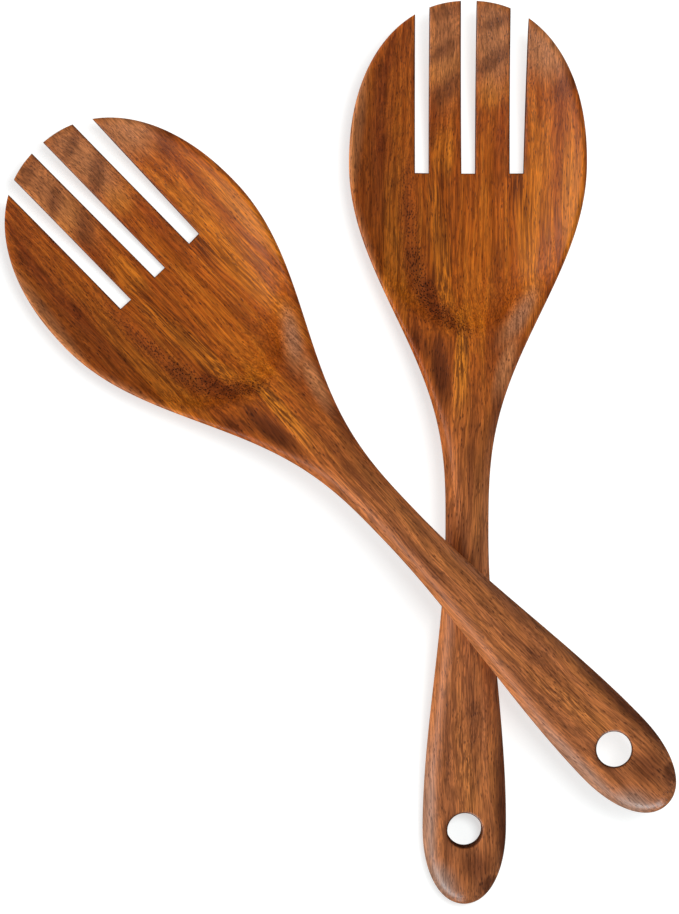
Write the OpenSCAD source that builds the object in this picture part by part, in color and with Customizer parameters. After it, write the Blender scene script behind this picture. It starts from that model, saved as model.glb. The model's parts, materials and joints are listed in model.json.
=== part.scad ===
// A pair of slotted wooden salad servers, one lying across the handle of the other.
// Both have one shape, each carved from a single piece of wood: a shallow slotted bowl,
// a slim neck and a swelling handle with a hanging hole. In a server's own frame the
// handle ends at y = 0, the tines point to +Y and it lies on z = 0.

/* [Outline] */
// Length of a server from the handle's end to the tips of the tines
server_length = 305; // [250:1:370]
// Greatest width of the bowl
bowl_width = 80.4; // [66:0.2:97]
// Distance from the tips to the bowl's widest place
widest_from_tip = 54; // [44:1:65]
// Distance from the tips to the slimmest place of the neck
neck_from_tip = 178; // [158:1:214]
// Width of the neck at its slimmest
neck_width = 14.5; // [12:0.1:18]
// Width of the handle at its widest
handle_width = 28.4; // [23:0.1:35]
// Distance from the handle's end to its widest place
handle_cap = 26.4; // [22:0.2:32]
// How square the handle's end is, 2 being an ellipse
handle_end_exponent = 2.15; // [2:0.05:2.6]
// How square the bowl's tip is, 2 being an ellipse
tip_exponent = 2.2; // [2:0.05:2.6]
// How fast the shoulders narrow from the bowl to the neck
shoulder_exponent = 3.5; // [2.6:0.1:4]

/* [Heights] */
// Thickness of the handle
handle_thickness = 11.5; // [9:0.1:14]
// Thickness of the neck
neck_thickness = 12.5; // [10:0.1:15]
// Height of the neck's underside above the surface
neck_arch = 13.5; // [8:0.5:18]
// Length of the handle's end that lies flat
flat_end = 14; // [8:1:24]
// Lowest height of the bowl's rim
rim_height = 16; // [13:0.5:20]
// Height of the tips of the tines
tip_height = 24; // [20:0.5:29]
// Distance from the tips to the point that the bowl stands on
stand_from_tip = 77; // [66:1:90]

/* [Bowl] */
// Thickness of the wood under the hollow
bowl_wall = 4.2; // [3:0.1:6]
// Thickness of the wood at the tips
tip_thickness = 3; // [2.4:0.1:4]
// Width of the rim around the hollow
rim_land = 1.3; // [0.8:0.1:2.2]
// Distance from the tips to where the hollow ends at the neck
hollow_length = 112; // [100:1:124]
// Length of the sloping wall that ends the hollow
hollow_end = 24; // [18:1:32]
// Depth of the two flutes beside the neck's spine
flute_depth = 1.3; // [0:0.1:2]

/* [Slots] */
// Length of the slots from the tips
slot_length = 56.6; // [46:0.2:70]
// Width of each slot at its root
slot_root_width = 4.7; // [4:0.1:6]
// Distance of each slot's root from the server's middle line
slot_root_x = [-15.35, 0.5, 16.9];
// Width of each slot at its mouth
slot_mouth_width = [4.8, 5.3, 6.3];
// Distance of each slot's mouth from the server's middle line
slot_mouth_x = [-15.9, -0.3, 16.9];

/* [Hanging hole] */
// Diameter of the hanging hole
hole_diameter = 11.8; // [8:0.2:14.4]
// Distance from the handle's end to the hole's middle
hole_from_end = 25.4; // [20:0.2:34]

/* [Edges] */
// Width of the rounding along the handle
handle_round = 7; // [5:0.5:9]
// Width of the rounding along the bowl's rim
rim_round = 1.6; // [1:0.1:2.5]

/* [Crossing] */
// Angle between the two servers
crossing_angle = 44; // [30:0.5:60]
// Distance from the lower server's neck back to the crossing
lower_neck_to_crossing = 21.6; // [5:1:45]
// Distance from the upper server's neck back to the crossing
upper_neck_to_crossing = 31.6; // [5:1:45]
// Gap left between the two handles
resting_gap = 0.3; // [0.2:0.05:1]

/* [Fineness] */
// Number of sections along the handle's round end
cap_sections = 10; // [6:1:16]
// Number of sections from there to the bowl's widest place
body_sections = 50; // [30:2:70]
// Number of sections from there to the tips
tip_sections = 16; // [10:1:24]
// Number of points around a section
ring_points = 40; // [24:4:48]

/* [Hidden] */
wood_dark = "#8a4a20";
wood_light = "#a05a28";

neck_y = server_length - neck_from_tip;
widest_y = server_length - widest_from_tip;
stand_y = server_length - stand_from_tip;
hollow_y = server_length - hollow_length;
slot_y = server_length - slot_length;
handle_half = handle_width / 2;
neck_half = neck_width / 2;
bowl_half = bowl_width / 2;
neck_top = neck_arch + neck_thickness;
shoulder_start = neck_y + 14;
rim_start = stand_y - 12;
belly_exponent = 2.3;
dish_exponent = 2.4;
slot_overrun = 5;
cut_height = tip_height + 20;
tiny = 0.01;

// Easing curves, which run from 0 to 1
function clamp01(u) = min(1, max(0, u));
function ease(u) = (1 - cos(180 * clamp01(u))) / 2;
function span(y, from, to) = clamp01((y - from) / (to - from));
function mix(a, b, u) = a + (b - a) * u;
function superellipse(u, e) = pow(max(0, 1 - pow(min(1, abs(u)), e)), 1 / e);
function quarter_round(u) = sqrt(max(0, 1 - pow(1 - clamp01(u), 2)));
function smooth_min(a, b, k) = min(a, b) - pow(max(0, k - abs(a - b)), 2) / (4 * k);

// Outline seen from above
function smoothstep(u) = u * u * (3 - 2 * u);
function handle_outline(y) =
    mix(handle_half, neck_half, smoothstep(span(y, handle_cap, neck_y)));
function shoulder_outline(y) =
    mix(neck_half, bowl_half, pow(1 - pow(1 - span(y, neck_y, widest_y), 2), shoulder_exponent));
function half_width(y) =
    y < handle_cap ? handle_half * superellipse(1 - y / handle_cap, handle_end_exponent)
    : y < neck_y ? handle_outline(y)
    : y < widest_y ? shoulder_outline(y)
    : bowl_half * superellipse((y - widest_y) / widest_from_tip, tip_exponent);

// Distance from a point to the outline, and to the outline's two ends along y
function to_handle_end(x, y) =
    y - handle_cap * (1 - superellipse(x / handle_half, handle_end_exponent));
function to_tip(x, y) =
    widest_y + widest_from_tip * superellipse(x / bowl_half, tip_exponent) - y;
function to_edge(x, y) =
    let (side = max(0, half_width(y) - abs(x)))
    let (end = max(tiny, y < neck_y ? to_handle_end(x, y) : to_tip(x, y)))
    side * end / sqrt(side * side + end * end);

// Heights along the middle line: top of the wood, underside, and edge of the outline
function shoulder(y) = ease(span(y, shoulder_start, rim_start));
function tip_rise(y) = pow(span(y, stand_y, server_length), 2);
function top_line(y) =
    mix(handle_thickness, neck_top, ease(span(y, flat_end, neck_y)))
    - (neck_top - rim_height) * shoulder(y) + (tip_height - rim_height) * tip_rise(y);
function keel_line(y) =
    neck_arch * (ease(span(y, flat_end, neck_y)) - ease(span(y, shoulder_start, stand_y)))
    + (tip_height - tip_thickness) * tip_rise(y);
function edge_drop(y) = mix((top_line(y) - keel_line(y)) / 2, tip_thickness / 2, shoulder(y));
function edge_line(y) = top_line(y) - edge_drop(y);
function edge_round(y) = min(mix(handle_round, rim_round, shoulder(y)), max(tiny, half_width(y)));

// The hollow: its floor along the middle line, and its surface
function floor_line(y) = keel_line(y) + mix(bowl_wall, tip_thickness, tip_rise(y));
function hollow_surface(x, y) =
    let (across = abs(x) / max(tiny, half_width(y) - rim_land))
    let (along = max(0, (hollow_y + hollow_end - y) / hollow_end))
    let (rise = pow(across, dish_exponent) + pow(along, dish_exponent))
    floor_line(y) + (top_line(y) - floor_line(y)) * rise;
function flute(x, y) =
    let (off = (abs(x) / max(tiny, half_width(y)) - 0.6) / 0.28)
    let (along = (y - hollow_y + 9) / 17)
    flute_depth * exp(-off * off - along * along);

// Upper and lower surfaces of a server
function top_surface(x, y) =
    let (round_off = quarter_round(to_edge(x, y) / edge_round(y)))
    let (crown = edge_line(y) + edge_drop(y) * round_off - flute(x, y) * round_off)
    smooth_min(crown, hollow_surface(x, y), mix(2.5, 0.8, span(y, hollow_y, stand_y)));
function under_surface(x, y) =
    let (round_off = quarter_round(to_edge(x, y) / edge_round(y)))
    let (across = x / max(tiny, half_width(y)))
    let (belly = mix(1, superellipse(across, belly_exponent), shoulder(y)))
    edge_line(y) - (edge_line(y) - keel_line(y)) * round_off * belly;

// Sections along a server, drawn close together towards both ends
section_places = [
    for (k = [1:cap_sections]) handle_cap * (1 - cos(90 * k / cap_sections)),
    for (k = [1:body_sections]) mix(handle_cap, widest_y, k / body_sections),
    for (k = [1:tip_sections - 1]) widest_y + widest_from_tip * sin(90 * k / tip_sections)
];
last = len(section_places) - 1;
function section_height(x, y, side) =
    side > tiny ? top_surface(x, y) : side < -tiny ? under_surface(x, y) : edge_line(y);
function section(y) = [
    for (k = [0:ring_points - 1])
        let (x = half_width(y) * cos(360 * k / ring_points))
        [x, y, section_height(x, y, sin(360 * k / ring_points))]
];
function server_points() = [
    [0, 0, edge_line(0)],
    for (y = section_places) each section(y),
    [0, server_length, edge_line(server_length)]
];
function ring_point(i, k) = 1 + i * ring_points + k % ring_points;
function server_faces() = [
    for (k = [0:ring_points - 1]) [0, ring_point(0, k + 1), ring_point(0, k)],
    for (i = [0:last - 1], k = [0:ring_points - 1]) each [
        [ring_point(i, k), ring_point(i + 1, k + 1), ring_point(i + 1, k)],
        [ring_point(i, k), ring_point(i, k + 1), ring_point(i + 1, k + 1)]
    ],
    for (k = [0:ring_points - 1])
        [ring_point(last + 1, 0), ring_point(last, k), ring_point(last, k + 1)]
];

// How the upper server lies: raised at the handle, turned, and moved to the crossing
lower_crossing_y = neck_y - lower_neck_to_crossing;
upper_crossing_y = neck_y - upper_neck_to_crossing;
function pitched(p, angle) = [
    p.x,
    (p.y - stand_y) * cos(angle) + p.z * sin(angle),
    p.z * cos(angle) - (p.y - stand_y) * sin(angle)
];
function turned(p) = [
    p.x * cos(crossing_angle) - p.y * sin(crossing_angle),
    p.x * sin(crossing_angle) + p.y * cos(crossing_angle),
    p.z
];
bowl_underside = [
    for (y = [stand_y - 20:2:stand_y + 40]) [0, y, keel_line(y)]
];
function drop_to_surface(angle) = min([for (p = bowl_underside) pitched(p, angle).z]);
function crossing_middle(angle) = turned(pitched(
    [0, upper_crossing_y, edge_line(upper_crossing_y)], angle));
function posed(p, angle) =
    turned(pitched(p, angle)) - [0, 0, drop_to_surface(angle)]
    + [-crossing_middle(angle).x, lower_crossing_y - crossing_middle(angle).y, 0];
handle_underside = [
    for (y = [upper_crossing_y - 24:3:upper_crossing_y + 24])
        for (across = [-0.8:0.2:0.8])
            let (x = across * half_width(y))
            [x, y, under_surface(x, y)]
];
function gap_at(angle) = min([
    for (p = handle_underside)
        let (q = posed(p, angle))
        if (abs(q.x) < half_width(q.y)) q.z - top_surface(q.x, q.y)
]);
function solve_pitch(low, high, steps) =
    let (middle = (low + high) / 2)
    steps == 0 ? middle
    : gap_at(middle) < resting_gap ? solve_pitch(middle, high, steps - 1)
    : solve_pitch(low, middle, steps - 1);
upper_pitch = solve_pitch(0, 15, 14);

// The row's origin is the middle of the pair's box, on the surface
points = server_points();
upper_points = [for (p = points) posed(p, upper_pitch)];
left = min(min([for (p = upper_points) p.x]), -bowl_half);
right = max(max([for (p = upper_points) p.x]), bowl_half);
front = min(min([for (p = upper_points) p.y]), 0);
back = max(max([for (p = upper_points) p.y]), server_length);
origin = [(left + right) / 2, (front + back) / 2, 0];

module slot(i) {
    translate([0, 0, -cut_height])
        linear_extrude(3 * cut_height)
            polygon([
                [slot_root_x[i] - slot_root_width / 2, slot_y],
                [slot_root_x[i] + slot_root_width / 2, slot_y],
                [slot_mouth_x[i] + slot_mouth_width[i] / 2, server_length + slot_overrun],
                [slot_mouth_x[i] - slot_mouth_width[i] / 2, server_length + slot_overrun]
            ]);
}

module hanging_hole() {
    translate([0, hole_from_end, -cut_height])
        cylinder(h = 3 * cut_height, d = hole_diameter, $fn = 96);
}

// One server, lying in its own frame
module server() {
    difference() {
        polyhedron(points, server_faces(), convexity = 8);
        for (i = [0:2]) slot(i);
        hanging_hole();
    }
}

module lower_server() {
    color(wood_dark)
        translate(-origin)
            server();
}

module upper_server() {
    color(wood_light)
        translate(posed([0, 0, 0], upper_pitch) - origin)
            rotate([0, 0, crossing_angle])
                rotate([-upper_pitch, 0, 0])
                    server();
}

lower_server();
upper_server();
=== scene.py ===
"""A pair of slotted salad servers carved from oiled wood, one lying across the other.

Each server is one closed mesh, drawn in its own frame: the handle ends at y = 0, the
tines point to +Y and it lies on z = 0. Its place comes from its hanging hole.
"""

import json
import math
from types import SimpleNamespace

import bmesh
import bpy
from bpy.props import FloatProperty, FloatVectorProperty, IntProperty, PointerProperty
from mathutils import Euler, Matrix, Vector


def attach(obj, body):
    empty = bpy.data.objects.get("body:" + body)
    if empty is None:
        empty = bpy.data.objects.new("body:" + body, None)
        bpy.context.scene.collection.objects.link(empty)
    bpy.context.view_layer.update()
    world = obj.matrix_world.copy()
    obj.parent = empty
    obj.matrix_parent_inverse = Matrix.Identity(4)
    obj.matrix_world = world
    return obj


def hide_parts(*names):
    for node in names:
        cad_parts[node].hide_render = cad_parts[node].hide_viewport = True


bl_info = {
    "name": "Slotted salad servers",
    "version": (1, 0, 0),
    "blender": (4, 5, 0),
    "location": "View3D > Sidebar > Servers",
    "description": "Builds a crossed pair of slotted wooden salad servers",
    "category": "Object",
}

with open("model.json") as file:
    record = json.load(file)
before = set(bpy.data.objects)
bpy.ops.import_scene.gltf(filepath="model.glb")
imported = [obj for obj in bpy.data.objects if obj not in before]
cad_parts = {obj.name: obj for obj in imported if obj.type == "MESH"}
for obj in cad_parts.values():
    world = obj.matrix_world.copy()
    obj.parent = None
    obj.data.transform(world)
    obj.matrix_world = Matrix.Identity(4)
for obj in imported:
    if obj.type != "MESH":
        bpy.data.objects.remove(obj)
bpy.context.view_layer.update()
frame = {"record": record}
mounts = {mount["name"]: mount for mount in frame["record"]["mounts"]}

MM = 0.001
# Below these lengths a size counts as nothing, two points as one, and a cut as on a point
TINY = 1e-5
TOUCH = 2e-6
SNAP = TOUCH / 10


def length_property(name, description, default):
    """A size in metres that is shown as a length."""
    return FloatProperty(
        name=name, description=description, default=default, precision=4, unit="LENGTH"
    )


def colour_property(name, description, default):
    """A wood colour, as red, green and blue in linear light."""
    return FloatVectorProperty(
        name=name,
        description=description,
        default=default,
        size=3,
        min=0.0,
        max=1.0,
        subtype="COLOR",
    )


class ServerSizes(bpy.types.PropertyGroup):
    """Sizes of one server."""

    length: length_property("Length", "From the handle's end to the tips", 0.305)
    bowl_width: length_property("Bowl width", "Greatest width of the bowl", 0.0804)
    widest_from_tip: length_property("Widest place", "From the tips to it", 0.054)
    neck_from_tip: length_property("Neck", "From the tips to its slimmest place", 0.178)
    neck_width: length_property("Neck width", "Width of the neck", 0.0145)
    handle_width: length_property("Handle width", "Greatest width of it", 0.0284)
    handle_cap: length_property("Handle cap", "From its end to its widest place", 0.0264)
    handle_thickness: length_property("Handle thickness", "Of the handle", 0.0115)
    neck_thickness: length_property("Neck thickness", "Of the neck", 0.0125)
    neck_arch: length_property("Neck arch", "Height of the neck's underside", 0.0135)
    flat_end: length_property("Flat end", "Length of handle that lies flat", 0.014)
    rim_height: length_property("Rim height", "Lowest height of the rim", 0.016)
    tip_height: length_property("Tip height", "Height of the tips", 0.024)
    stand_from_tip: length_property("Standing point", "From the tips to it", 0.077)
    bowl_wall: length_property("Bowl wall", "Thickness under the hollow", 0.0042)
    tip_thickness: length_property("Tip thickness", "Thickness of the tips", 0.003)
    rim_land: length_property("Rim land", "Width of rim round the hollow", 0.0013)
    hollow_length: length_property("Hollow length", "From the tips to its end", 0.112)
    hollow_end: length_property("Hollow end", "Length of its end wall", 0.024)
    flute_depth: length_property("Flute depth", "Depth beside the spine", 0.0013)
    slot_length: length_property("Slot length", "Length of the slots", 0.0566)
    hole_diameter: length_property("Hole diameter", "Of the hanging hole", 0.0118)
    hole_from_end: length_property("Hole place", "From the handle's end", 0.0254)
    handle_round: length_property("Handle rounding", "Width of it", 0.0056)
    rim_round: length_property("Rim rounding", "Width of it", 0.0016)
    slot_ease: length_property("Slot easing", "Width of the eased slot edges", 0.0007)
    hole_ease: length_property("Hole easing", "Width of the eased hole edge", 0.001)
    handle_end_exponent: FloatProperty(
        name="Handle end", description="How square it is, 2 being round", default=2.15
    )
    tip_exponent: FloatProperty(
        name="Tip", description="How square it is, 2 being round", default=2.2
    )
    shoulder_exponent: FloatProperty(
        name="Shoulder", description="How fast the bowl narrows", default=3.5
    )
    facet: FloatProperty(
        name="Facet",
        description="Part of a quarter round along the handle; below 1 leaves a ridge",
        default=0.72,
    )
    ring_points: IntProperty(
        name="Ring points", description="Points around a section", default=160
    )
    sections: IntProperty(
        name="Sections", description="Sections from end to end", default=320
    )


class WoodFinish(bpy.types.PropertyGroup):
    """Colours and gloss of the oiled wood."""

    # Also the colour of the painted shade along the handle's right edge
    dark: colour_property("Dark", "Dark heartwood streaks, and painted shade", (0.105, 0.020, 0.003))
    red: colour_property("Red", "Red-brown heartwood", (0.290, 0.050, 0.002))
    brown: colour_property("Brown", "Middle brown", (0.430, 0.094, 0.002))
    gold: colour_property("Gold", "Golden streaks", (0.660, 0.195, 0.007))
    # Paler wood on the handle, and also the colour of the pale painted sheen
    dry_and_sheen: colour_property("Dry and sheen", "Paler wood, and pale painted sheen", (0.500, 0.198, 0.072))
    # The colour of the grey painted sheen
    grey_sheen: colour_property("Grey sheen", "Grey painted sheen on lit edges", (0.270, 0.165, 0.120))
    # Also the colour of the painted shade along the sawn and drilled edges
    pore: colour_property("Pore", "Inside of the open pores, and painted shade at cut edges", (0.050, 0.010, 0.003))
    roughness: FloatProperty(
        name="Roughness", description="Of the oiled surface", default=0.38
    )
    gloss: FloatProperty(
        name="Gloss", description="Strength of the reflections", default=0.4
    )


class StageSettings(bpy.types.PropertyGroup):
    """Camera and light."""

    camera_height: length_property("Camera height", "Above the floor", 1.2)
    camera_x: length_property("Camera x", "Of the camera", 0.00032)
    camera_y: length_property("Camera y", "Of the camera", -0.00078)
    camera_roll: FloatProperty(
        name="Roll", description="Turn of the camera", default=math.radians(0.24),
        subtype="ANGLE",
    )
    focal_length: FloatProperty(
        name="Focal length", description="In millimetres", default=138.24
    )
    sky: FloatProperty(name="Sky", description="Light from all around", default=0.46)
    side_light: FloatProperty(
        name="Side light", description="Watts of the broad light on the left", default=9.5
    )
    strip_light: FloatProperty(
        name="Strip light", description="Watts of the low strips, for sheen", default=22.0
    )
    key_light: FloatProperty(
        name="Key light", description="Watts of the high light on the right", default=7.8
    )
    wide_light: FloatProperty(
        name="Wide light", description="Watts of the broad light on the right", default=2.8
    )
    floor_glow: FloatProperty(
        name="Floor glow", description="Light of the white table itself", default=0.60
    )


def setting_names(group):
    """The names of a group's own settings."""
    return [
        name
        for name in group.bl_rna.properties.keys()
        if name not in ("name", "rna_type")
    ]


# Easing curves, which run from 0 to 1


def clamp01(u):
    """u, kept between 0 and 1."""
    return min(1.0, max(0.0, u))


def ease(u):
    """Half a cosine wave, from 0 to 1."""
    return (1.0 - math.cos(math.pi * clamp01(u))) / 2.0


def span(y, start, end):
    """How far y is on the way from start to end."""
    return clamp01((y - start) / (end - start))


def mix(a, b, u):
    """The value that is u of the way from a to b."""
    return a + (b - a) * u


def superellipse(u, exponent):
    """Height of a superellipse of size 1 at u."""
    return max(0.0, 1.0 - min(1.0, abs(u)) ** exponent) ** (1.0 / exponent)


def quarter_round(u):
    """A quarter of a circle, rising from 0 to 1."""
    return math.sqrt(max(0.0, 1.0 - (1.0 - clamp01(u)) ** 2))


def facet_round(u, part):
    """A quarter round of which only a part is used, so that it ends in a faint ridge."""
    return quarter_round(part * clamp01(u)) / quarter_round(part)


def smoothstep(u):
    """A cubic step, from 0 to 1."""
    u = clamp01(u)
    return u * u * (3.0 - 2.0 * u)


def smooth_min(a, b, blend):
    """The smaller of a and b, with a rounded change over blend."""
    return min(a, b) - max(0.0, blend - abs(a - b)) ** 2 / (4.0 * blend)


# The three slots, from left to right: middle line and width, at the root and the mouth
SLOT_ROOTS = (-15.35 * MM, 0.5 * MM, 16.9 * MM)
SLOT_MOUTHS = (-15.9 * MM, -0.3 * MM, 16.9 * MM)
SLOT_ROOT_WIDTH = 4.7 * MM
SLOT_MOUTH_WIDTHS = (4.8 * MM, 5.3 * MM, 6.3 * MM)
SLOT_OVERRUN = 5 * MM
# How square the underside and the hollow are across the bowl, 2 being round
BELLY_EXPONENT = 2.3
DISH_EXPONENT = 2.4
# The shoulder starts this far past the neck, and ends this far before the standing point
SHOULDER_START = 14 * MM
RIM_START = 12 * MM
# The flutes: place and spread across, as shares of the half width, and along
FLUTE_ACROSS = 0.6
FLUTE_WIDTH = 0.28
FLUTE_BEFORE_HOLLOW = 9 * MM
FLUTE_LENGTH = 17 * MM
# Rounding of the hollow's lip, at the neck and on the bowl
NECK_LIP = 2.5 * MM
BOWL_LIP = 0.8 * MM
# Depth of an eased edge: a share of its width, or of the wood where that is thin
EASE_DEPTH = 0.8
EASE_LIMIT = 0.3


class ServerShape:
    """Outline and heights of one server, in its own frame, in metres."""

    def __init__(self, sizes):
        # A plain copy of the sizes, which is read much faster than the settings
        s = SimpleNamespace()
        for name in setting_names(sizes):
            setattr(s, name, getattr(sizes, name))
        s.neck_y = s.length - s.neck_from_tip
        s.widest_y = s.length - s.widest_from_tip
        s.stand_y = s.length - s.stand_from_tip
        s.hollow_y = s.length - s.hollow_length
        s.slot_y = s.length - s.slot_length
        s.handle_half = s.handle_width / 2
        s.neck_half = s.neck_width / 2
        s.bowl_half = s.bowl_width / 2
        s.hole_radius = s.hole_diameter / 2
        s.neck_top = s.neck_arch + s.neck_thickness
        s.shoulder_start = s.neck_y + SHOULDER_START
        s.rim_start = s.stand_y - RIM_START
        self.s = s

    def half_width(self, y):
        """Half the width of the outline at y."""
        s = self.s
        if y < s.handle_cap:
            return s.handle_half * superellipse(
                1 - y / s.handle_cap, s.handle_end_exponent
            )
        if y < s.neck_y:
            swell = smoothstep(span(y, s.handle_cap, s.neck_y))
            return mix(s.handle_half, s.neck_half, swell)
        if y < s.widest_y:
            along = span(y, s.neck_y, s.widest_y)
            opening = (1 - (1 - along) ** 2) ** s.shoulder_exponent
            return mix(s.neck_half, s.bowl_half, opening)
        return s.bowl_half * superellipse(
            (y - s.widest_y) / s.widest_from_tip, s.tip_exponent
        )

    def to_edge(self, x, y):
        """Smoothed distance from a point to the outline."""
        s = self.s
        side = max(0.0, self.half_width(y) - abs(x))
        if y < s.neck_y:
            curve = superellipse(x / s.handle_half, s.handle_end_exponent)
            end = y - s.handle_cap * (1 - curve)
        else:
            curve = superellipse(x / s.bowl_half, s.tip_exponent)
            end = s.widest_y + s.widest_from_tip * curve - y
        end = max(TINY, end)
        return side * end / math.sqrt(side * side + end * end)

    def shoulder(self, y):
        """0 on the handle, 1 on the bowl."""
        return ease(span(y, self.s.shoulder_start, self.s.rim_start))

    def tip_rise(self, y):
        """How far the tips have risen at y."""
        return span(y, self.s.stand_y, self.s.length) ** 2

    def top_line(self, y):
        """Height of the wood along the middle line, without the hollow."""
        s = self.s
        handle = mix(
            s.handle_thickness, s.neck_top, ease(span(y, s.flat_end, s.neck_y))
        )
        sink = (s.neck_top - s.rim_height) * self.shoulder(y)
        return handle - sink + (s.tip_height - s.rim_height) * self.tip_rise(y)

    def keel_line(self, y):
        """Height of the underside along the middle line."""
        s = self.s
        arch = ease(span(y, s.flat_end, s.neck_y))
        arch -= ease(span(y, s.shoulder_start, s.stand_y))
        return s.neck_arch * arch + (s.tip_height - s.tip_thickness) * self.tip_rise(y)

    def edge_drop(self, y):
        """How far the outline's edge lies below the top."""
        handle = (self.top_line(y) - self.keel_line(y)) / 2
        return mix(handle, self.s.tip_thickness / 2, self.shoulder(y))

    def edge_line(self, y):
        """Height of the outline's edge."""
        return self.top_line(y) - self.edge_drop(y)

    def edge_round(self, y):
        """Width of the rounding along the edge."""
        width = mix(self.s.handle_round, self.s.rim_round, self.shoulder(y))
        return min(width, max(TINY, self.half_width(y)))

    def floor_line(self, y):
        """Height of the hollow's floor along the middle line."""
        wall = mix(self.s.bowl_wall, self.s.tip_thickness, self.tip_rise(y))
        return self.keel_line(y) + wall

    def hollow_surface(self, x, y):
        """The dish of the hollow, and its wall towards the neck."""
        s = self.s
        across = abs(x) / max(TINY, self.half_width(y) - s.rim_land)
        along = max(0.0, (s.hollow_y + s.hollow_end - y) / s.hollow_end)
        rise = across**DISH_EXPONENT + along**DISH_EXPONENT
        floor = self.floor_line(y)
        return floor + (self.top_line(y) - floor) * rise

    def flute(self, x, y):
        """Depth of the two flutes beside the neck's spine."""
        s = self.s
        off = (abs(x) / max(TINY, self.half_width(y)) - FLUTE_ACROSS) / FLUTE_WIDTH
        along = (y - s.hollow_y + FLUTE_BEFORE_HOLLOW) / FLUTE_LENGTH
        return s.flute_depth * math.exp(-off * off - along * along)

    def top_surface(self, x, y):
        """Height of the upper surface."""
        s = self.s
        part = mix(s.facet, 1.0, self.shoulder(y))
        round_off = facet_round(self.to_edge(x, y) / self.edge_round(y), part)
        lift = self.edge_drop(y) - self.flute(x, y)
        crown = self.edge_line(y) + lift * round_off
        lip = mix(NECK_LIP, BOWL_LIP, span(y, s.hollow_y, s.stand_y))
        return smooth_min(crown, self.hollow_surface(x, y), lip)

    def under_surface(self, x, y):
        """Height of the lower surface."""
        round_off = quarter_round(self.to_edge(x, y) / self.edge_round(y))
        across = x / max(TINY, self.half_width(y))
        belly = mix(1.0, superellipse(across, BELLY_EXPONENT), self.shoulder(y))
        edge = self.edge_line(y)
        return edge - (edge - self.keel_line(y)) * round_off * belly

    def slot_walls(self, i, y):
        """The two walls of slot i at y, left and right."""
        s = self.s
        u = (y - s.slot_y) / (s.length + SLOT_OVERRUN - s.slot_y)
        middle = mix(SLOT_ROOTS[i], SLOT_MOUTHS[i], u)
        half = mix(SLOT_ROOT_WIDTH, SLOT_MOUTH_WIDTHS[i], u) / 2
        return middle - half, middle + half

    def to_slot(self, x, y):
        """Distance to the nearest slot."""
        distances = []
        behind = max(0.0, self.s.slot_y - y)
        for i in range(len(SLOT_ROOTS)):
            left, right = self.slot_walls(i, max(y, self.s.slot_y))
            beside = max(0.0, left - x, x - right)
            distances.append(math.hypot(beside, behind))
        return min(distances)

    def to_hole(self, x, y):
        """Distance to the hanging hole, below 0 inside it."""
        return math.hypot(x, y - self.s.hole_from_end) - self.s.hole_radius

    def cut_edge(self, x, y):
        """1 on the edge of a slot or the hole, falling to 0 beside it."""
        return max(
            1.0 - clamp01(self.to_slot(x, y) / self.s.slot_ease),
            1.0 - clamp01(self.to_hole(x, y) / self.s.hole_ease),
        )

    def heights(self, x, y):
        """Upper and lower surface, with the edges of slots and hole eased."""
        s = self.s
        top = self.top_surface(x, y)
        under = self.under_surface(x, y)
        if y > s.slot_y - s.slot_ease:
            away, width = self.to_slot(x, y), s.slot_ease
        elif y < 2 * s.hole_from_end:
            away, width = self.to_hole(x, y), s.hole_ease
        else:
            return top, under
        depth = min(EASE_DEPTH * width, EASE_LIMIT * max(0.0, top - under))
        eased = depth * (1 - quarter_round(away / width))
        return top - eased, under + eased


# The mesh of one server

# The mesh's layer that says how near a point is to a sawn or drilled edge
CUT_EDGE = "cut_edge"
# Shares of an easing's width at which the mesh has a line of points
EASE_LINES = (0.0, 0.14, 0.45, 1.0)
# Shares of the sections that the handle's cap and the tip take up
CAP_SHARE = 1 / 8
TIP_SHARE = 3 / 16
# How far beyond a slot the mesh is cut, as a share of the slot's easing
SLOT_MARGIN = 1.6
# How far beyond the hole the mesh is cut and bent, and the share of the hole's easing
# within which it is bent into full circles
HOLE_REACH = 4.6 * MM
FULL_CIRCLE = 1.3
# Half the thickness of the blank before it gets its shape
BLANK_HEIGHT = 10 * MM


def section_place(shape, share):
    """Place of a section along the server, closer together at both ends."""
    s = shape.s
    if share < CAP_SHARE:
        return s.handle_cap * (1 - math.cos(math.pi / 2 * share / CAP_SHARE))
    if share < 1 - TIP_SHARE:
        return mix(
            s.handle_cap, s.widest_y, (share - CAP_SHARE) / (1 - TIP_SHARE - CAP_SHARE)
        )
    along = (share - 1 + TIP_SHARE) / TIP_SHARE
    return s.widest_y + s.widest_from_tip * math.sin(math.pi / 2 * along)


def oval_blank(shape):
    """A closed blank with the outline of the server and plain oval sections."""
    s = shape.s
    bm = bmesh.new()
    bmesh.ops.create_uvsphere(
        bm, u_segments=s.ring_points, v_segments=s.sections, radius=1.0
    )
    for vert in bm.verts:
        down = math.acos(max(-1.0, min(1.0, vert.co.z)))
        section = round(down / math.pi * s.sections)
        y = section_place(shape, section / s.sections)
        if section in (0, s.sections):
            vert.co = (0.0, y, 0.0)
            continue
        point = round(math.atan2(vert.co.y, vert.co.x) / math.tau * s.ring_points)
        turn = math.tau * point / s.ring_points
        height = math.sin(turn)
        if abs(height) < TINY:
            height = 0.0
        vert.co = (shape.half_width(y) * math.cos(turn), y, BLANK_HEIGHT * height)
    return bm


def faces_near(bm, low, high):
    """The faces between two corners, seen from above, with their edges and verts."""
    faces = []
    for face in bm.faces:
        middle = face.calc_center_median()
        if low[0] < middle.x < high[0] and low[1] < middle.y < high[1]:
            faces.append(face)
    # Dictionaries, since they keep the order in which things were found
    edges = dict.fromkeys(edge for face in faces for edge in face.edges)
    verts = dict.fromkeys(vert for face in faces for vert in face.verts)
    return [*faces, *edges, *verts]


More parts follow.
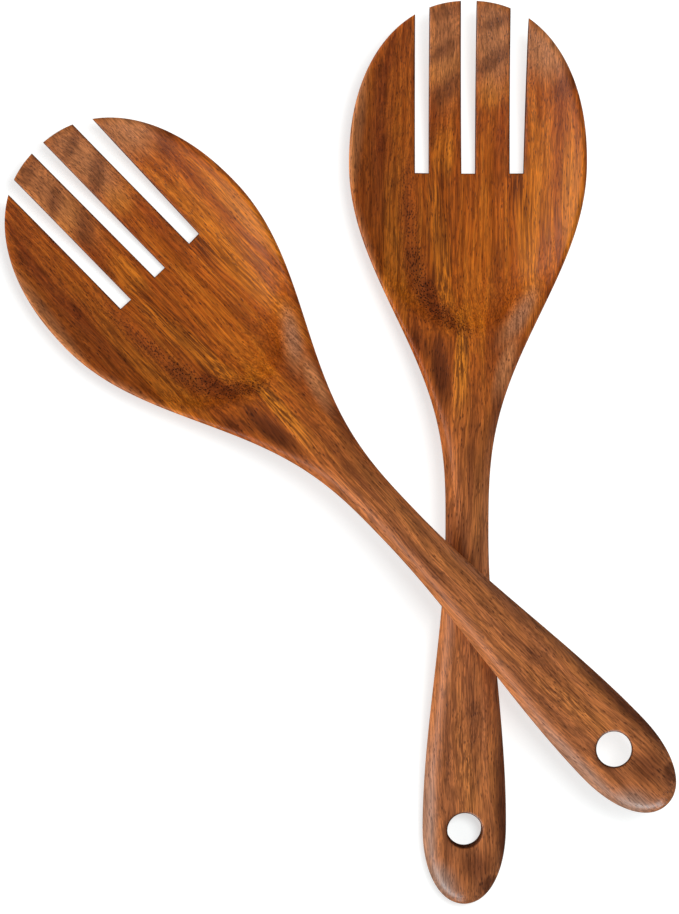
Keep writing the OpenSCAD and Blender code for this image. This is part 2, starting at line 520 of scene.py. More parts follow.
def cut(bm, near, point, normal):
    """Cuts the faces in a part of the blank along an upright plane."""
    low, high = near
    bmesh.ops.bisect_plane(
        bm,
        geom=faces_near(bm, low, high),
        dist=SNAP,
        plane_co=point,
        plane_no=normal,
    )


def cut_slot_lines(bm, shape, i):
    """Cuts along the walls and the root of a slot, and where its edges are eased."""
    s = shape.s
    margin = s.slot_ease * SLOT_MARGIN
    root = shape.slot_walls(i, s.slot_y)
    mouth = shape.slot_walls(i, s.length)
    low_x = min(root[0], mouth[0]) - margin
    high_x = max(root[1], mouth[1]) + margin
    near = ((low_x, s.slot_y - margin), (high_x, s.length + margin))
    for side, outward in ((0, -1.0), (1, 1.0)):
        start = Vector((root[side], s.slot_y, 0))
        end = Vector((mouth[side], s.length, 0))
        along = (end - start).normalized()
        normal = Vector((along.y, -along.x, 0)) * outward
        for line in EASE_LINES:
            cut(bm, near, start + normal * (line * s.slot_ease), normal)
    near = ((low_x, s.slot_y - margin), (high_x, s.slot_y + margin))
    for line in EASE_LINES:
        cut(bm, near, Vector((0, s.slot_y - line * s.slot_ease, 0)), Vector((0, 1, 0)))


def cut_hole_lines(bm, shape):
    """Cuts squares around the hanging hole, which are bent into circles later."""
    s = shape.s
    reach = s.hole_radius + HOLE_REACH
    near = ((-reach, s.hole_from_end - reach), (reach, s.hole_from_end + reach))
    for line in EASE_LINES:
        away = s.hole_radius + line * s.hole_ease
        for side in (-1.0, 1.0):
            point = Vector((side * away, s.hole_from_end, 0))
            cut(bm, near, point, Vector((side, 0, 0)))
            point = Vector((0, s.hole_from_end + side * away, 0))
            cut(bm, near, point, Vector((0, side, 0)))


def open_slots_and_hole(bm, shape):
    """Takes out the faces inside the slots and the square of the hole."""
    s = shape.s
    inside = []
    for face in bm.faces:
        middle = face.calc_center_median()
        x, y = middle.x, middle.y
        if y > s.slot_y and shape.to_slot(x, y) <= 0.0:
            inside.append(face)
        if max(abs(x), abs(y - s.hole_from_end)) < s.hole_radius:
            inside.append(face)
    bmesh.ops.delete(bm, geom=inside, context="FACES")


def bend_square_to_circle(bm, shape):
    """Moves the points around the hole, so that each square becomes a circle."""
    s = shape.s
    full = s.hole_radius + FULL_CIRCLE * s.hole_ease
    reach = s.hole_radius + HOLE_REACH
    for vert in bm.verts:
        x = vert.co.x
        y = vert.co.y - s.hole_from_end
        square = max(abs(x), abs(y))
        if square > reach or square < TINY:
            continue
        bend = 1 - smoothstep(span(square, full, reach))
        scale = mix(1.0, square / math.hypot(x, y), bend)
        vert.co.x = x * scale
        vert.co.y = s.hole_from_end + y * scale


def raise_surfaces(bm, shape):
    """Gives every point its height, and its nearness to a sawn or drilled edge."""
    cut_edge = bm.verts.layers.float.new(CUT_EDGE)
    for vert in bm.verts:
        vert[cut_edge] = shape.cut_edge(vert.co.x, vert.co.y)
        x, y, side = vert.co
        if abs(side) < TINY / 10:
            vert.co.z = shape.edge_line(y)
            continue
        top, under = shape.heights(x, y)
        vert.co.z = top if side > 0 else under


def open_edges(bm):
    """The edges that have a face on one side only."""
    return [edge for edge in bm.edges if edge.is_boundary]


def edges_on(edges, belongs):
    """The edges whose two points both satisfy a test."""
    return [edge for edge in edges if all(belongs(vert.co) for vert in edge.verts)]


def corner_edge(bm, shape, x):
    """Joins the upper and the lower corner at a slot's root by an upright edge."""
    place = Vector((x, shape.s.slot_y))
    corners = dict.fromkeys(
        vert
        for edge in open_edges(bm)
        for vert in edge.verts
        if (vert.co.xy - place).length < TOUCH
    )
    if len(corners) != 2:
        raise RuntimeError(f"a slot's root has {len(corners)} corners at {x:.5f}")
    made = bmesh.ops.contextual_create(bm, geom=list(corners))
    return made["edges"][0]


def wall_slot(bm, shape, i):
    """Closes the root and the two sides of a slot with flat walls."""
    s = shape.s
    left, right = shape.slot_walls(i, s.slot_y)
    # Found before the uprights, which would otherwise count twice
    boundary = open_edges(bm)
    corners = [corner_edge(bm, shape, x) for x in (left, right)]

    def on_wall(side):
        def test(co):
            wall = shape.slot_walls(i, co.y)[side]
            return abs(co.x - wall) < TOUCH and co.y > s.slot_y - TOUCH

        return test

    def on_root(co):
        return abs(co.y - s.slot_y) < TOUCH and left - TOUCH < co.x < right + TOUCH

    for test, uprights in (
        (on_wall(0), corners[:1]),
        (on_wall(1), corners[1:]),
        (on_root, corners),
    ):
        rim = edges_on(boundary, test)
        made = bmesh.ops.contextual_create(bm, geom=rim + uprights)
        if len(made["faces"]) != 1:
            raise RuntimeError(f"a wall of slot {i} is not one face")
        for face in made["faces"]:
            face.smooth = False


def wall_hole(bm, shape):
    """Joins the upper and the lower circle of the hole by its bore."""
    rims = edges_on(open_edges(bm), lambda co: abs(shape.to_hole(co.x, co.y)) < TOUCH)
    bmesh.ops.bridge_loops(bm, edges=rims)
    for edge in rims:
        edge.smooth = False


def server_blank(shape):
    """The closed mesh of one server in its own frame."""
    bm = oval_blank(shape)
    for face in bm.faces:
        face.smooth = True
    for i in range(len(SLOT_ROOTS)):
        cut_slot_lines(bm, shape, i)
    cut_hole_lines(bm, shape)
    open_slots_and_hole(bm, shape)
    bend_square_to_circle(bm, shape)
    raise_surfaces(bm, shape)
    for i in range(len(SLOT_ROOTS)):
        wall_slot(bm, shape, i)
    wall_hole(bm, shape)
    bmesh.ops.recalc_face_normals(bm, faces=bm.faces)
    if not all(edge.is_manifold for edge in bm.edges):
        raise RuntimeError("the mesh of the server is not closed")
    return bm


def server_pose(shape, mount):
    """Origin and rotation of a server, from its hanging hole."""
    axis = Vector(mount["axis"]).normalized()
    pitch = math.acos(min(1.0, axis.z))
    turn = math.atan2(-axis.x, axis.y) if pitch > TINY else 0.0
    rotation = Euler((-pitch, 0.0, turn), "XYZ")
    # The lower server lies level, so its bore's height is the same in its own frame
    bore_middle = mounts["lower_hanging_hole"]["pos_m"][2]
    hole = rotation.to_matrix() @ Vector((0, shape.s.hole_from_end, bore_middle))
    return Vector(mount["pos_m"]) - hole, rotation


# The oiled wood


class WoodNodes:
    """Adds the nodes of one wood material, each new one to the right of the last."""

    def __init__(self, name):
        self.material = bpy.data.materials.new(name)
        self.material.use_nodes = True
        self.tree = self.material.node_tree
        self.tree.nodes.clear()
        self.count = 0

    def node(self, kind, label, **settings):
        """A new node, laid out on a grid."""
        made = self.tree.nodes.new(kind)
        made.label = label
        made.location = (180 * (self.count % 12), -260 * (self.count // 12))
        self.count += 1
        for key, value in settings.items():
            setattr(made, key, value)
        return made

    def put(self, socket, value):
        """Links a socket to another one, or sets its value."""
        if isinstance(value, bpy.types.NodeSocket):
            self.tree.links.new(value, socket)
        else:
            socket.default_value = value

    def math(self, operation, a, b, label, clamp=False):
        """A Math node."""
        made = self.node("ShaderNodeMath", label, operation=operation, use_clamp=clamp)
        self.put(made.inputs[0], a)
        self.put(made.inputs[1], b)
        return made.outputs[0]

    def add_scaled(self, base, value, amount, label):
        """base plus amount times value."""
        made = self.node("ShaderNodeMath", label, operation="MULTIPLY_ADD")
        self.put(made.inputs[0], value)
        made.inputs[1].default_value = amount
        self.put(made.inputs[2], base)
        return made.outputs[0]

    def map_range(self, value, bounds, label):
        """Takes a value between two bounds to one between two others, smoothly."""
        made = self.node("ShaderNodeMapRange", label, interpolation_type="SMOOTHSTEP")
        for socket, item in zip(made.inputs, (value, *bounds)):
            self.put(socket, item)
        return made.outputs["Result"]

    def placed(self, vector, location, rotation, scale, label):
        """Coordinates seen from another place, in other units."""
        made = self.node("ShaderNodeMapping", label, vector_type="TEXTURE")
        self.put(made.inputs["Vector"], vector)
        made.inputs["Location"].default_value = location
        made.inputs["Rotation"].default_value = rotation
        made.inputs["Scale"].default_value = scale
        return made.outputs[0]

    def moved(self, vector, offset, amount, label):
        """Coordinates that are moved by an offset, scaled along each axis."""
        made = self.node("ShaderNodeVectorMath", label, operation="MULTIPLY_ADD")
        self.put(made.inputs[0], offset)
        made.inputs[1].default_value = amount
        self.put(made.inputs[2], vector)
        return made.outputs[0]

    def noise(self, vector, grain, detail, roughness, distortion, label):
        """Noise whose grains have the given size along x, y and z."""
        coords = self.placed(vector, (0, 0, 0), (0, 0, 0), grain, label)
        made = self.node("ShaderNodeTexNoise", label, noise_dimensions="3D")
        self.put(made.inputs["Vector"], coords)
        made.inputs["Scale"].default_value = 1.0
        made.inputs["Detail"].default_value = detail
        made.inputs["Roughness"].default_value = roughness
        made.inputs["Distortion"].default_value = distortion
        return made

    def dashes(self, vector, spacing, low, high, strength, label):
        """Scattered marks with the given spacing along x, y and z."""
        coords = self.placed(vector, (0, 0, 0), (0, 0, 0), spacing, label)
        made = self.node("ShaderNodeTexVoronoi", label, voronoi_dimensions="3D")
        self.put(made.inputs["Vector"], coords)
        made.inputs["Scale"].default_value = 1.0
        made.inputs["Randomness"].default_value = 1.0
        bounds = (high, low, 0.0, strength)
        return self.map_range(made.outputs["Distance"], bounds, label)

    def blend(self, factor, a, b, label):
        """The colour that is factor of the way from a to b."""
        made = self.node("ShaderNodeMix", label, data_type="RGBA", blend_type="MIX")
        self.put(made.inputs[0], factor)
        self.put(made.inputs[6], a)
        self.put(made.inputs[7], b)
        return made.outputs[2]

    def patch(self, vector, x, y, half_x, half_y, turn, label):
        """A soft oval patch, 1 in its middle and 0 at its edge."""
        coords = self.placed(
            vector,
            (x, y, 0.0),
            (0.0, 0.0, math.radians(turn)),
            (half_x, half_y, PATCH_DEPTH),
            label,
        )
        made = self.node("ShaderNodeTexGradient", label, gradient_type="SPHERICAL")
        self.put(made.inputs["Vector"], coords)
        return self.map_range(made.outputs["Fac"], PATCH_EDGE, label)

    def patches(self, vector, spots, label):
        """The strongest of several patches: x, y, half sizes, turn and strength."""
        total = None
        for x, y, half_x, half_y, turn, strength in spots:
            spot = self.patch(vector, x, y, half_x, half_y, turn, label)
            spot = self.math("MULTIPLY", spot, strength, label)
            total = spot if total is None else self.math("MAXIMUM", total, spot, label)
        return total


# Size of the grain in millimetres: across, along and through the wood
WANDER = (22.0, 70.0, 30.0)
BROAD_STREAKS = (6.0, 120.0, 16.0)
STREAKS = (1.2, 45.0, 8.0)
FIBRES = (0.34, 7.5, 0.9)
LONG_FIBRES = (0.52, 16.0, 1.4)
MOTTLE = (4.0, 7.0, 4.0)
PORES = (0.54, 3.0, 0.9)
VEIN_MARKS = (0.62, 1.05, 0.8)

# How far the grain and the patches of figure wander, in millimetres
GRAIN_WANDER = (8.0, 10.0, 14.0)
FIGURE_WANDER = (2.0, 4.0, 0.0)

# What each kind of figure adds to the level, on which the colours are laid out
GOLD_SHARE = 0.23
BROAD_SHARE = 0.60
STREAK_SHARE = 0.34
MOTTLE_SHARE = 0.20
RED_LEVEL = 0.28
BROWN_LEVEL = 0.58

# Strongest effect of the patches
# Strength of the pale painted sheen patches
PALE_SHEEN_STRENGTH = 0.8
# Strength of the grey painted sheen
GREY_SHEEN_STRENGTH = 0.75
VEIN_SHADE = 0.74
FIGURE_SHADE = 0.72
MARK_CONTRAST = 0.50

# Two bounds of a value, and the two values that they are taken to
PATCH_EDGE = (0.0, 0.8, 0.0, 1.0)
SIDE_LEVEL = (-34.0, 34.0, 0.06, 0.03)
LEVEL_SPREAD = (0.14, 1.08, 0.0, 1.0)
# The handle is paler wood with some painted sheen on it
HANDLE_DRY_AND_SHEEN = (120.0, 200.0, 0.50, 0.0)
FIBRE_LIGHT = (0.31, 0.66, 0.70, 1.36)
LONG_FIBRE_LIGHT = (0.32, 0.66, 0.90, 1.14)
STREAK_LIGHT = (0.3, 0.7, 0.84, 1.20)
LONG_LINES = (0.54, 0.40, 0.0, 0.62)
PORE_CLUSTERS = (0.34, 0.66, 1.0, 0.25)
# Painted shade along the edges of the slots and the hole
EDGE_SHADE_BOUNDS = (0.35, 0.95, 0.0, 0.75)

# Size of a pore's and a vein mark's dark middle and of its edge, and its strength
PORE_MARK = (0.16, 0.33, 0.80)
VEIN_MARK = (0.20, 0.48, 0.85)

# Unevenness of the oiled surface
SMOOTHER = 0.05
ROUGHER = 0.07
BUMP_STRENGTH = 0.4
BUMP_HEIGHT = 0.1 * MM
FIBRE_HEIGHT = 0.5

# The patches go right through the wood
PATCH_DEPTH = 1000.0

# Patches in millimetres, of figure, painted sheen and painted shade: x, y, half width,
# half length, turn, strength
VEIN = (
    (-20.8, 246.0, 4.4, 18, 2, 0.7),
    (-19.4, 232.0, 5.0, 17, 8, 0.95),
    (-17.4, 219.0, 5.6, 16, 8, 1.15),
    (-14.4, 208.5, 6.2, 14, 22, 1.4),
    (-9.4, 201.0, 5.8, 14, 45, 1.5),
    (-4.0, 196.4, 4.6, 11, 60, 1.3),
    (-9.0, 265.0, 6.0, 14, -25, 0.50),
    (-27.0, 262.0, 9.0, 24, 0, 0.35),
    (16.5, 197.0, 4.0, 13, -35, 0.45),
)
TINE_BANDS = (
    (-9.0, 289.0, 12.0, 3.0, 32, 0.65),
    (-6.5, 277.0, 11.0, 5.0, 48, 0.70),
    (-8.0, 301.0, 12.0, 3.4, 14, 0.5),
    (8.5, 286.0, 14.0, 4.2, 38, 0.8),
    (9.0, 298.0, 12.0, 3.0, 22, 0.6),
    (33.0, 277.0, 9.0, 5.0, 25, 0.6),
)
DARK_FIGURE_AND_EDGE_SHADE = (
    (-9.3, 181.0, 4.6, 20, 6, 1.25),
    (-15.0, 190.0, 3.6, 14, 32, 0.7),
    (-1.0, 192.0, 1.2, 14, 0, 1.0),
    (-29.0, 260.0, 12.0, 45, 2, 0.34),
    (10.0, 208.0, 4.0, 30, -4, 0.45),
    (9.0, 168.0, 2.4, 16, -6, 0.7),
    (17.0, 244.0, 1.8, 15, 0, 0.5),
    (-2.0, 116.0, 2.2, 24, 0, 0.7),
    (3.6, 104.0, 1.8, 40, -2, 0.5),
    (-4.5, 88.0, 2.0, 34, 2, 0.45),
    (0.6, 150.0, 1.6, 26, 0, 0.5),
    (-6.0, 58.0, 1.8, 28, -2, 0.5),
    (3.2, 58.0, 2.4, 34, 3, 0.55),
    (4.0, 14.0, 8.0, 9, 20, 0.9),
    (8.0, 6.5, 5.5, 6.0, -40, 1.0),
    # Painted shade along the handle's right edge, here and in the next patch
    (13.4, 32.0, 4.4, 60, 0, 1.2),
    (10.5, 84.0, 2.6, 50, 3, 0.8),
    (-5.5, 24.0, 2.6, 14, 0, 0.6),
)
GOLD_PATCHES = (
    (23.0, 232.0, 13.0, 52, -4, 1.0),
    (-9.0, 255.0, 8.0, 14, 0, 0.8),
    (-9.0, 222.0, 5.2, 42, 6, 1.0),
    (-25.5, 222.0, 6.5, 40, 8, 0.5),
    (34.0, 240.0, 9.0, 34, 0, 0.8),
    (4.0, 226.0, 12.0, 44, 0, 0.5),
    (-2.6, 184.0, 3.2, 26, -2, 1.6),
    (-9.0, 282.5, 10.0, 5.5, 40, 0.8),
    (8.0, 275.0, 9.0, 8, 30, 0.9),
    (3.0, 44.0, 9.0, 26, 0, 0.9),
    (-3.0, 72.0, 5.0, 40, 0, 0.6),
    (4.0, 90.0, 4.5, 30, 0, 0.45),
)
LINED_PATCHES = (
    (-9.5, 226.0, 9.0, 50, 4, 1.0),
    (17.0, 243.0, 6.0, 22, 0, 1.0),
    (-3.0, 184.0, 6.0, 32, 0, 1.0),
    (-25.0, 228.0, 9.0, 44, 6, 0.5),
    (-1.0, 140.0, 8.0, 70, 0, 0.6),
    (1.0, 60.0, 9.0, 60, 0, 0.7),
    (24.0, 222.0, 9.0, 40, -8, 0.5),
)
# Painted sheen where the rims, tine tops, hollow's end, neck and handle's left bevel face
# the low lights
PALE_SHEEN_PATCHES = (
    (-38.0, 262.0, 4.4, 44, -6, 0.8),
    (-34.0, 221.0, 3.4, 34, 17, 0.5),
    (-8.0, 292.0, 12.0, 28, 0, 0.75),
    (8.0, 292.0, 12.0, 26, 0, 0.9),
    (26.0, 290.0, 13.0, 16, 30, 0.9),
    (17.0, 199.0, 5.5, 18, -30, 0.9),
    (12.5, 182.0, 4.4, 20, -16, 0.9),
    (-12.0, 60.0, 3.6, 70, 4, 0.4),
)
# Grey painted sheen on the handle's left bevel and end, and on the hollow's end wall
GREY_SHEEN_PATCHES = (
    (-9.0, 8.5, 8.0, 12, 42, 1.0),
    (-12.6, 26.0, 4.4, 46, 0, 0.8),
    (18.5, 201.0, 3.6, 14, -30, 0.4),
)


class OiledWood(WoodNodes):
    """Oiled wood whose grain runs along the server, in the server's own frame."""

    def __init__(self, name, origin, rotation, finish, shift):
        super().__init__(name)
        self.finish = finish
        self.lay_grain(origin, rotation)
        self.vein = self.patches(self.figure, VEIN, "vein")
        colour = self.heartwood()
        colour = self.dryness_and_sheen(colour)
        colour = self.dark_figure_and_shade(colour)
        colour = self.fibre_light(colour)
        colour = self.long_lines(colour)
        pores = self.open_pores(shift)
        colour = self.blend(pores, colour, (*finish.pore, 1.0), "pores")
        # Painted shade along the sawn and drilled edges
        colour = self.painted_edge_shade(colour)
        self.surface(colour, pores)

    def lay_grain(self, origin, rotation):
        """Coordinates in millimetres that wander with the grain, and the noises in it."""
        coords = self.node("ShaderNodeTexCoord", "object coordinates")
        coords = coords.outputs["Object"]
        own = self.placed(coords, origin, rotation, (MM, MM, MM), "server frame, mm")
        wander = self.noise(own, WANDER, 2.0, 0.5, 0.0, "wander")
        centred = self.node("ShaderNodeVectorMath", "centred", operation="SUBTRACT")
        self.put(centred.inputs[0], wander.outputs["Color"])
        self.put(centred.inputs[1], (0.5, 0.5, 0.5))
        offset = centred.outputs[0]
        self.grain = self.moved(own, offset, GRAIN_WANDER, "wandering grain")
        self.figure = self.moved(own, offset, FIGURE_WANDER, "soft wander")
        self.place = self.node("ShaderNodeSeparateXYZ", "place")
        self.put(self.place.inputs[0], self.figure)
        self.broad = self.grain_noise(BROAD_STREAKS, 2.0, 0.5, 0.3, "broad streaks")
        self.streaks = self.grain_noise(STREAKS, 3.0, 0.6, 0.2, "streaks")
        self.fibres = self.grain_noise(FIBRES, 2.0, 0.6, 0.0, "fibres")
        self.lines = self.grain_noise(LONG_FIBRES, 1.0, 0.5, 0.0, "long fibres")
        self.mottle = self.grain_noise(MOTTLE, 3.0, 0.6, 0.6, "mottle")

    def grain_noise(self, size, detail, roughness, distortion, label):
        """Noise that follows the grain, from 0 to 1."""
        made = self.noise(self.grain, size, detail, roughness, distortion, label)
        return made.outputs["Fac"]

    def heartwood(self):
        """The wood's colours, from dark over red and brown to gold."""
        finish = self.finish
        level = self.map_range(self.place.outputs["X"], SIDE_LEVEL, "left to right")
        gold = self.patches(self.figure, GOLD_PATCHES, "gold patches")
        level = self.add_scaled(level, gold, GOLD_SHARE, "golden level")
        level = self.add_scaled(level, self.broad, BROAD_SHARE, "broad streaks")
        level = self.add_scaled(level, self.streaks, STREAK_SHARE, "streaks")
        level = self.add_scaled(level, self.mottle, MOTTLE_SHARE, "mottle")
        ramp = self.node("ShaderNodeValToRGB", "wood colours")
        self.put(ramp.inputs["Fac"], self.map_range(level, LEVEL_SPREAD, "spread"))
        stops = ramp.color_ramp.elements
        stops[0].color = (*finish.dark, 1.0)
        stops[1].color = (*finish.gold, 1.0)
        for place, colour in ((RED_LEVEL, finish.red), (BROWN_LEVEL, finish.brown)):
            stop = stops.new(place)
            stop.color = (*colour, 1.0)
        return ramp.outputs["Color"]

    def dryness_and_sheen(self, colour):
        """The handle is paler wood; the rims, tine tops, hollow's end and the handle's
        left bevel get painted sheen.
        """
        finish = self.finish
        handle = self.map_range(self.place.outputs["Y"], HANDLE_DRY_AND_SHEEN, "dry and sheen handle")
        # Pale painted sheen patches, mixed with the paler handle
        dry_and_sheen = self.patches(self.figure, PALE_SHEEN_PATCHES, "pale sheen patches")
        dry_and_sheen = self.math("MULTIPLY", dry_and_sheen, PALE_SHEEN_STRENGTH, "dry_and_sheen")
        dry_and_sheen = self.math("MAXIMUM", handle, dry_and_sheen, "dry_and_sheen")
        colour = self.blend(dry_and_sheen, colour, (*finish.dry_and_sheen, 1.0), "dry_and_sheen")
        # Grey painted sheen, where the wood faces the low lights
        grey_sheen = self.patches(self.figure, GREY_SHEEN_PATCHES, "grey sheen patches")
        grey_sheen = self.math("MULTIPLY", grey_sheen, GREY_SHEEN_STRENGTH, "grey_sheen")
        return self.blend(grey_sheen, colour, (*finish.grey_sheen, 1.0), "grey_sheen")

    def dark_figure_and_shade(self, colour):
        """The vein, the bands on the tines and the dark patches, with painted shade along
        the handle's right edge.
        """
        bands = self.patches(self.figure, TINE_BANDS, "bands")
        dark_patches_and_shade = self.patches(self.figure, DARK_FIGURE_AND_EDGE_SHADE, "dark patches and edge shade")
        others = self.math("MAXIMUM", bands, dark_patches_and_shade, "dark figure and shade")
        dark = self.math("MULTIPLY", self.vein, VEIN_SHADE, "vein shade")
        dark = self.math("MAXIMUM", dark, others, "dark figure and shade")
        dark = self.math("MULTIPLY", dark, FIGURE_SHADE, "dark figure and shade", clamp=True)
        return self.blend(dark, colour, (*self.finish.dark, 1.0), "dark figure and shade")

    def fibre_light(self, colour):
        """Fibres as light and dark lines, with lighter wood between the vein's marks."""
        label = "light of the fibres"
        light = self.map_range(self.fibres, FIBRE_LIGHT, "fibres")
        light = self.add_scaled(light, self.vein, MARK_CONTRAST, "wood in the vein")
        long_light = self.map_range(self.lines, LONG_FIBRE_LIGHT, "long fibres")
        light = self.math("MULTIPLY", light, long_light, label)
        streak_light = self.map_range(self.streaks, STREAK_LIGHT, "streaks")
        light = self.math("MULTIPLY", light, streak_light, label)
        lit = self.node("ShaderNodeVectorMath", label, operation="SCALE")
        self.put(lit.inputs[0], colour)
        self.put(lit.inputs["Scale"], light)
        return lit.outputs[0]

    def long_lines(self, colour):
        """Places where long dark lines stand out."""
        lined = self.patches(self.figure, LINED_PATCHES, "lined patches")
        lines = self.map_range(self.lines, LONG_LINES, "long lines")
        lines = self.math("MULTIPLY", lines, lined, "long lines")
        return self.blend(lines, colour, (*self.finish.dark, 1.0), "long lines")

    def open_pores(self, shift):
        """Open pores in clusters, and shorter and thicker marks in the vein."""
        moved = self.node("ShaderNodeVectorMath", "pores of this server", operation="ADD")
        self.put(moved.inputs[0], self.grain)
        self.put(moved.inputs[1], (shift, 3 * shift, shift))
        coords = moved.outputs[0]
        pores = self.dashes(coords, PORES, *PORE_MARK, "pores")
        clusters = self.map_range(self.mottle, PORE_CLUSTERS, "clusters")
        pores = self.math("MULTIPLY", pores, clusters, "pores")
        marks = self.dashes(coords, VEIN_MARKS, *VEIN_MARK, "vein marks")
        marks = self.math("MULTIPLY", marks, self.vein, "vein marks", clamp=True)
        return self.math("MAXIMUM", pores, marks, "pores and marks")

    def painted_edge_shade(self, colour):
        """Painted shade along the sawn and drilled edges of the slots and the hole."""
        edge = self.node("ShaderNodeAttribute", "cut edge", attribute_name=CUT_EDGE)
        dark = self.map_range(edge.outputs["Fac"], EDGE_SHADE_BOUNDS, "painted edge shade")
        return self.blend(dark, colour, (*self.finish.pore, 1.0), "painted edge shade")

    def surface(self, colour, pores):
        """The oiled surface, with the relief of pores and fibres."""
        finish = self.finish
        height = self.math("MULTIPLY", pores, -1.0, "pore depth")
        height = self.add_scaled(height, self.fibres, FIBRE_HEIGHT, "grain height")
        bump = self.node("ShaderNodeBump", "grain bump")
        self.put(bump.inputs["Strength"], BUMP_STRENGTH)
        self.put(bump.inputs["Distance"], BUMP_HEIGHT)
        self.put(bump.inputs["Height"], height)
        bounds = (0.3, 0.7, finish.roughness - SMOOTHER, finish.roughness + ROUGHER)
        roughness = self.map_range(self.streaks, bounds, "roughness")
        shader = self.node("ShaderNodeBsdfPrincipled", "oiled wood")
        self.put(shader.inputs["Base Color"], colour)
        self.put(shader.inputs["Roughness"], roughness)
        self.put(shader.inputs["Normal"], bump.outputs["Normal"])
        self.put(shader.inputs["Specular IOR Level"], finish.gloss)
        output = self.node("ShaderNodeOutputMaterial", "output")
        self.put(output.inputs["Surface"], shader.outputs[0])


# The mesh that both servers start from
BLANK = "server_blank"
# Moves the pores of the upper server, in millimetres, so that the two differ
UPPER_SHIFT = 37.0
SIDES = ("lower", "upper")


def build_server(context, side, shift):
    """Makes the lower or the upper server, with its wood, in its place."""
    shape = ServerShape(context.scene.server_sizes)
    origin, rotation = server_pose(shape, mounts[side + "_hanging_hole"])
    ready = bpy.data.meshes.get(BLANK)
    if ready is None:
        blank = server_blank(shape)
        ready = bpy.data.meshes.new(BLANK)
        blank.to_mesh(ready)
        blank.free()
    bm = bmesh.new()
    bm.from_mesh(ready)
    place = Matrix.Translation(origin) @ rotation.to_matrix().to_4x4()
    bmesh.ops.transform(bm, matrix=place, verts=bm.verts)
    mesh = bpy.data.meshes.new(side + "_server_wood")
    bm.to_mesh(mesh)
    bm.free()
    server = bpy.data.objects.new(side + "_server_wood", mesh)
    context.scene.collection.objects.link(server)
    finish = context.scene.wood_finish
    wood = OiledWood("oiled_wood_" + side, origin, rotation, finish, shift)
    mesh.materials.append(wood.material)
    bpy.data.collections["lit_" + side].objects.link(server)
    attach(server, side)
    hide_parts(side + "_server")


class SERVERS_OT_lower(bpy.types.Operator):
    """Builds the server that lies on the surface"""

    bl_idname = "servers.lower"
    bl_label = "Lower server"
    bl_options = {"REGISTER", "UNDO"}

    def execute(self, context):
        build_server(context, "lower", 0.0)
        return {"FINISHED"}


class SERVERS_OT_upper(bpy.types.Operator):
    """Builds the server that lies across the other one"""

    bl_idname = "servers.upper"
    bl_label = "Upper server"
    bl_options = {"REGISTER", "UNDO"}

    def execute(self, context):
        build_server(context, "upper", UPPER_SHIFT)
        return {"FINISHED"}


# The stage

WHITE = (1.0, 1.0, 1.0, 1.0)
WARM_LIGHT = (1.0, 0.99, 0.97)
COOL_LIGHT = (0.92, 0.97, 1.0)
TABLE_COLOUR = (0.51, 0.55, 0.56, 1.0)
TABLE_SIZE = 4.0
TABLE_GAP = 0.05 * MM
# Height above the middle of the table that the lights point at
AIM_HEIGHT = 10 * MM
# Places and sizes of the lights beside each server, in metres and turned with it
SIDE_PLACE = (-1.0, 0.1, 0.80)
SIDE_SIZE = (1.2, 0.6)
STRIP_SIZE = (1.4, 0.3)
# Each strip's name, place and share of the power
STRIPS = (
    ("_left_strip", (-1.2, 0.15, 0.45), 0.2),
    ("_end_strip", (-0.70, -1.05, 0.40), 1.0),
)
# The lights above the table, whose power is the setting of the same name
TABLE_LIGHTS = (
    ("key_light", (0.22, 0.14, 1.12), 0.32),
    ("wide_light", (0.80, 0.35, 0.85), 1.0),
)
# The camera sees this far, in metres
CLIP_END = 20.0


def add_camera(context, stage):
    """The camera, looking straight down."""
    data = bpy.data.cameras.new("camera")
    data.lens = stage.focal_length
    data.clip_end = CLIP_END
    camera = bpy.data.objects.new("camera", data)
    camera.location = (stage.camera_x, stage.camera_y, stage.camera_height)
    camera.rotation_euler = (0.0, 0.0, stage.camera_roll)
    context.scene.collection.objects.link(camera)
    context.scene.camera = camera


def add_area_light(context, name, location, size, power, colour):
    """A soft light that points at the middle of the servers."""
    data = bpy.data.lights.new(name, "AREA")
    data.shape = "RECTANGLE"
    data.size, data.size_y = size
    data.energy = power
    data.color = colour
    light = bpy.data.objects.new(name, data)
    light.location = location
    aim = Vector((0.0, 0.0, AIM_HEIGHT)) - Vector(location)
    light.rotation_euler = aim.to_track_quat("-Z", "Y").to_euler()
    context.scene.collection.objects.link(light)
    return light


def add_floor(context, stage):
    """A white table top."""
    bm = bmesh.new()
    bmesh.ops.create_grid(bm, x_segments=1, y_segments=1, size=TABLE_SIZE)
    bmesh.ops.translate(bm, verts=bm.verts, vec=(0.0, 0.0, -TABLE_GAP))
    mesh = bpy.data.meshes.new("floor")
    bm.to_mesh(mesh)
    bm.free()
    floor = bpy.data.objects.new("floor", mesh)
    context.scene.collection.objects.link(floor)
    material = bpy.data.materials.new("white_table")
    material.use_nodes = True
    shader = material.node_tree.nodes["Principled BSDF"]
    shader.inputs["Base Color"].default_value = TABLE_COLOUR
    shader.inputs["Roughness"].default_value = 0.7
    shader.inputs["Specular IOR Level"].default_value = 0.2
    shader.inputs["Emission Color"].default_value = WHITE
    shader.inputs["Emission Strength"].default_value = stage.floor_glow
    mesh.materials.append(material)
    floor.visible_glossy = False
    return floor


def add_sky(context, stage):
    """Even white light from all around, which gives no reflections."""
    world = bpy.data.worlds.new("studio")
    world.use_nodes = True
    background = world.node_tree.nodes["Background"]
    background.inputs["Color"].default_value = WHITE
    background.inputs["Strength"].default_value = stage.sky
    # The scene has its world before this, because the setting updates the scene's world
    context.scene.world = world
    world.cycles_visibility.glossy = False


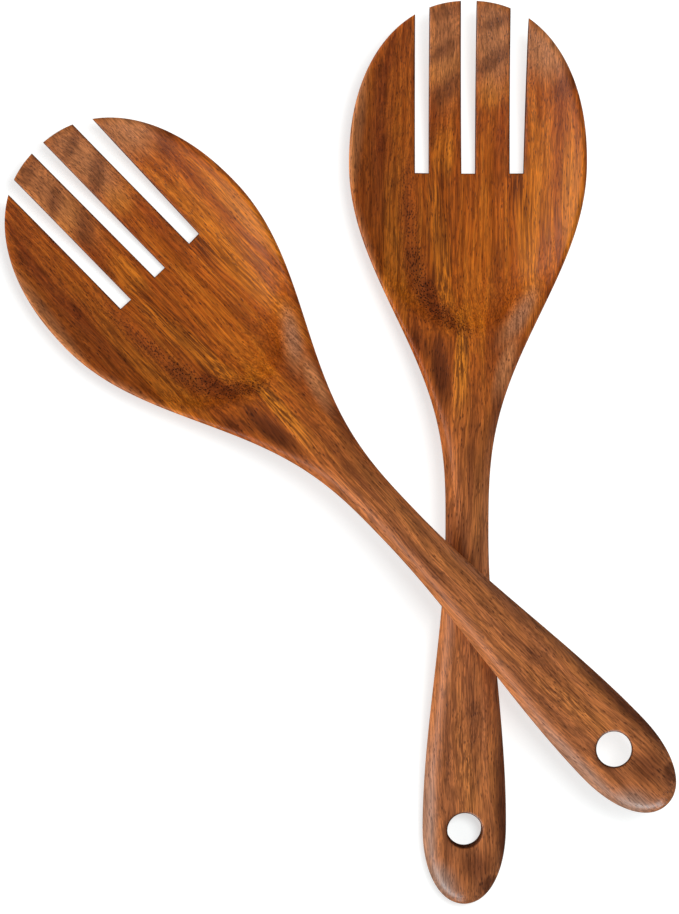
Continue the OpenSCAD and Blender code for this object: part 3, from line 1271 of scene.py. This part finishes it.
def light_server(context, stage, side):
    """The lights of one server, which light only that server."""
    servers = bpy.data.collections.new("lit_" + side)
    shape = ServerShape(context.scene.server_sizes)
    rotation = server_pose(shape, mounts[side + "_hanging_hole"])[1]
    around = Matrix.Rotation(rotation.z, 3, "Z")
    broad = add_area_light(
        context,
        side + "_side_light",
        around @ Vector(SIDE_PLACE),
        SIDE_SIZE,
        stage.side_light,
        WARM_LIGHT,
    )
    broad.visible_glossy = False
    broad.light_linking.receiver_collection = servers
    for name, place, share in STRIPS:
        strip = add_area_light(
            context,
            side + name,
            around @ Vector(place),
            STRIP_SIZE,
            share * stage.strip_light,
            COOL_LIGHT,
        )
        strip.visible_diffuse = False
        strip.light_linking.receiver_collection = servers


def light_table(context, stage, floor):
    """The lights of the table, which give the servers' shadows."""
    table = bpy.data.collections.new("lit_table")
    table.objects.link(floor)
    for name, place, size in TABLE_LIGHTS:
        power = getattr(stage, name)
        light = add_area_light(context, name, place, (size, size), power, WARM_LIGHT)
        light.light_linking.receiver_collection = table


class SERVERS_OT_stage(bpy.types.Operator):
    """Sets up the white table, the soft lights and the camera"""

    bl_idname = "servers.stage"
    bl_label = "Stage"
    bl_options = {"REGISTER", "UNDO"}

    def execute(self, context):
        stage = context.scene.servers_stage
        context.scene.view_settings.view_transform = "Standard"
        add_sky(context, stage)
        floor = add_floor(context, stage)
        for side in SIDES:
            light_server(context, stage, side)
        light_table(context, stage, floor)
        add_camera(context, stage)
        return {"FINISHED"}


class SERVERS_PT_panel(bpy.types.Panel):
    """Lists what can be built"""

    bl_idname = "SERVERS_PT_panel"
    bl_label = "Salad servers"
    bl_space_type = "VIEW_3D"
    bl_region_type = "UI"
    bl_category = "Servers"

    def draw(self, context):
        layout = self.layout
        for operator in (SERVERS_OT_stage, SERVERS_OT_lower, SERVERS_OT_upper):
            layout.operator(operator.bl_idname)
        for group in (
            context.scene.server_sizes,
            context.scene.wood_finish,
            context.scene.servers_stage,
        ):
            column = layout.column(align=True)
            for name in setting_names(group):
                column.prop(group, name)


CLASSES = (
    ServerSizes,
    WoodFinish,
    StageSettings,
    SERVERS_OT_lower,
    SERVERS_OT_upper,
    SERVERS_OT_stage,
    SERVERS_PT_panel,
)


def register():
    """Registers the classes and the settings on the scene."""
    for item in CLASSES:
        bpy.utils.register_class(item)
    bpy.types.Scene.server_sizes = PointerProperty(type=ServerSizes)
    bpy.types.Scene.wood_finish = PointerProperty(type=WoodFinish)
    bpy.types.Scene.servers_stage = PointerProperty(type=StageSettings)


def unregister():
    """Takes the classes and the settings away again."""
    del bpy.types.Scene.servers_stage
    del bpy.types.Scene.wood_finish
    del bpy.types.Scene.server_sizes
    for item in reversed(CLASSES):
        bpy.utils.unregister_class(item)


def main():
    """Builds everything."""
    register()
    bpy.ops.servers.stage()
    bpy.ops.servers.lower()
    bpy.ops.servers.upper()
    bpy.context.view_layer.update()


if __name__ == "__main__":
    main()
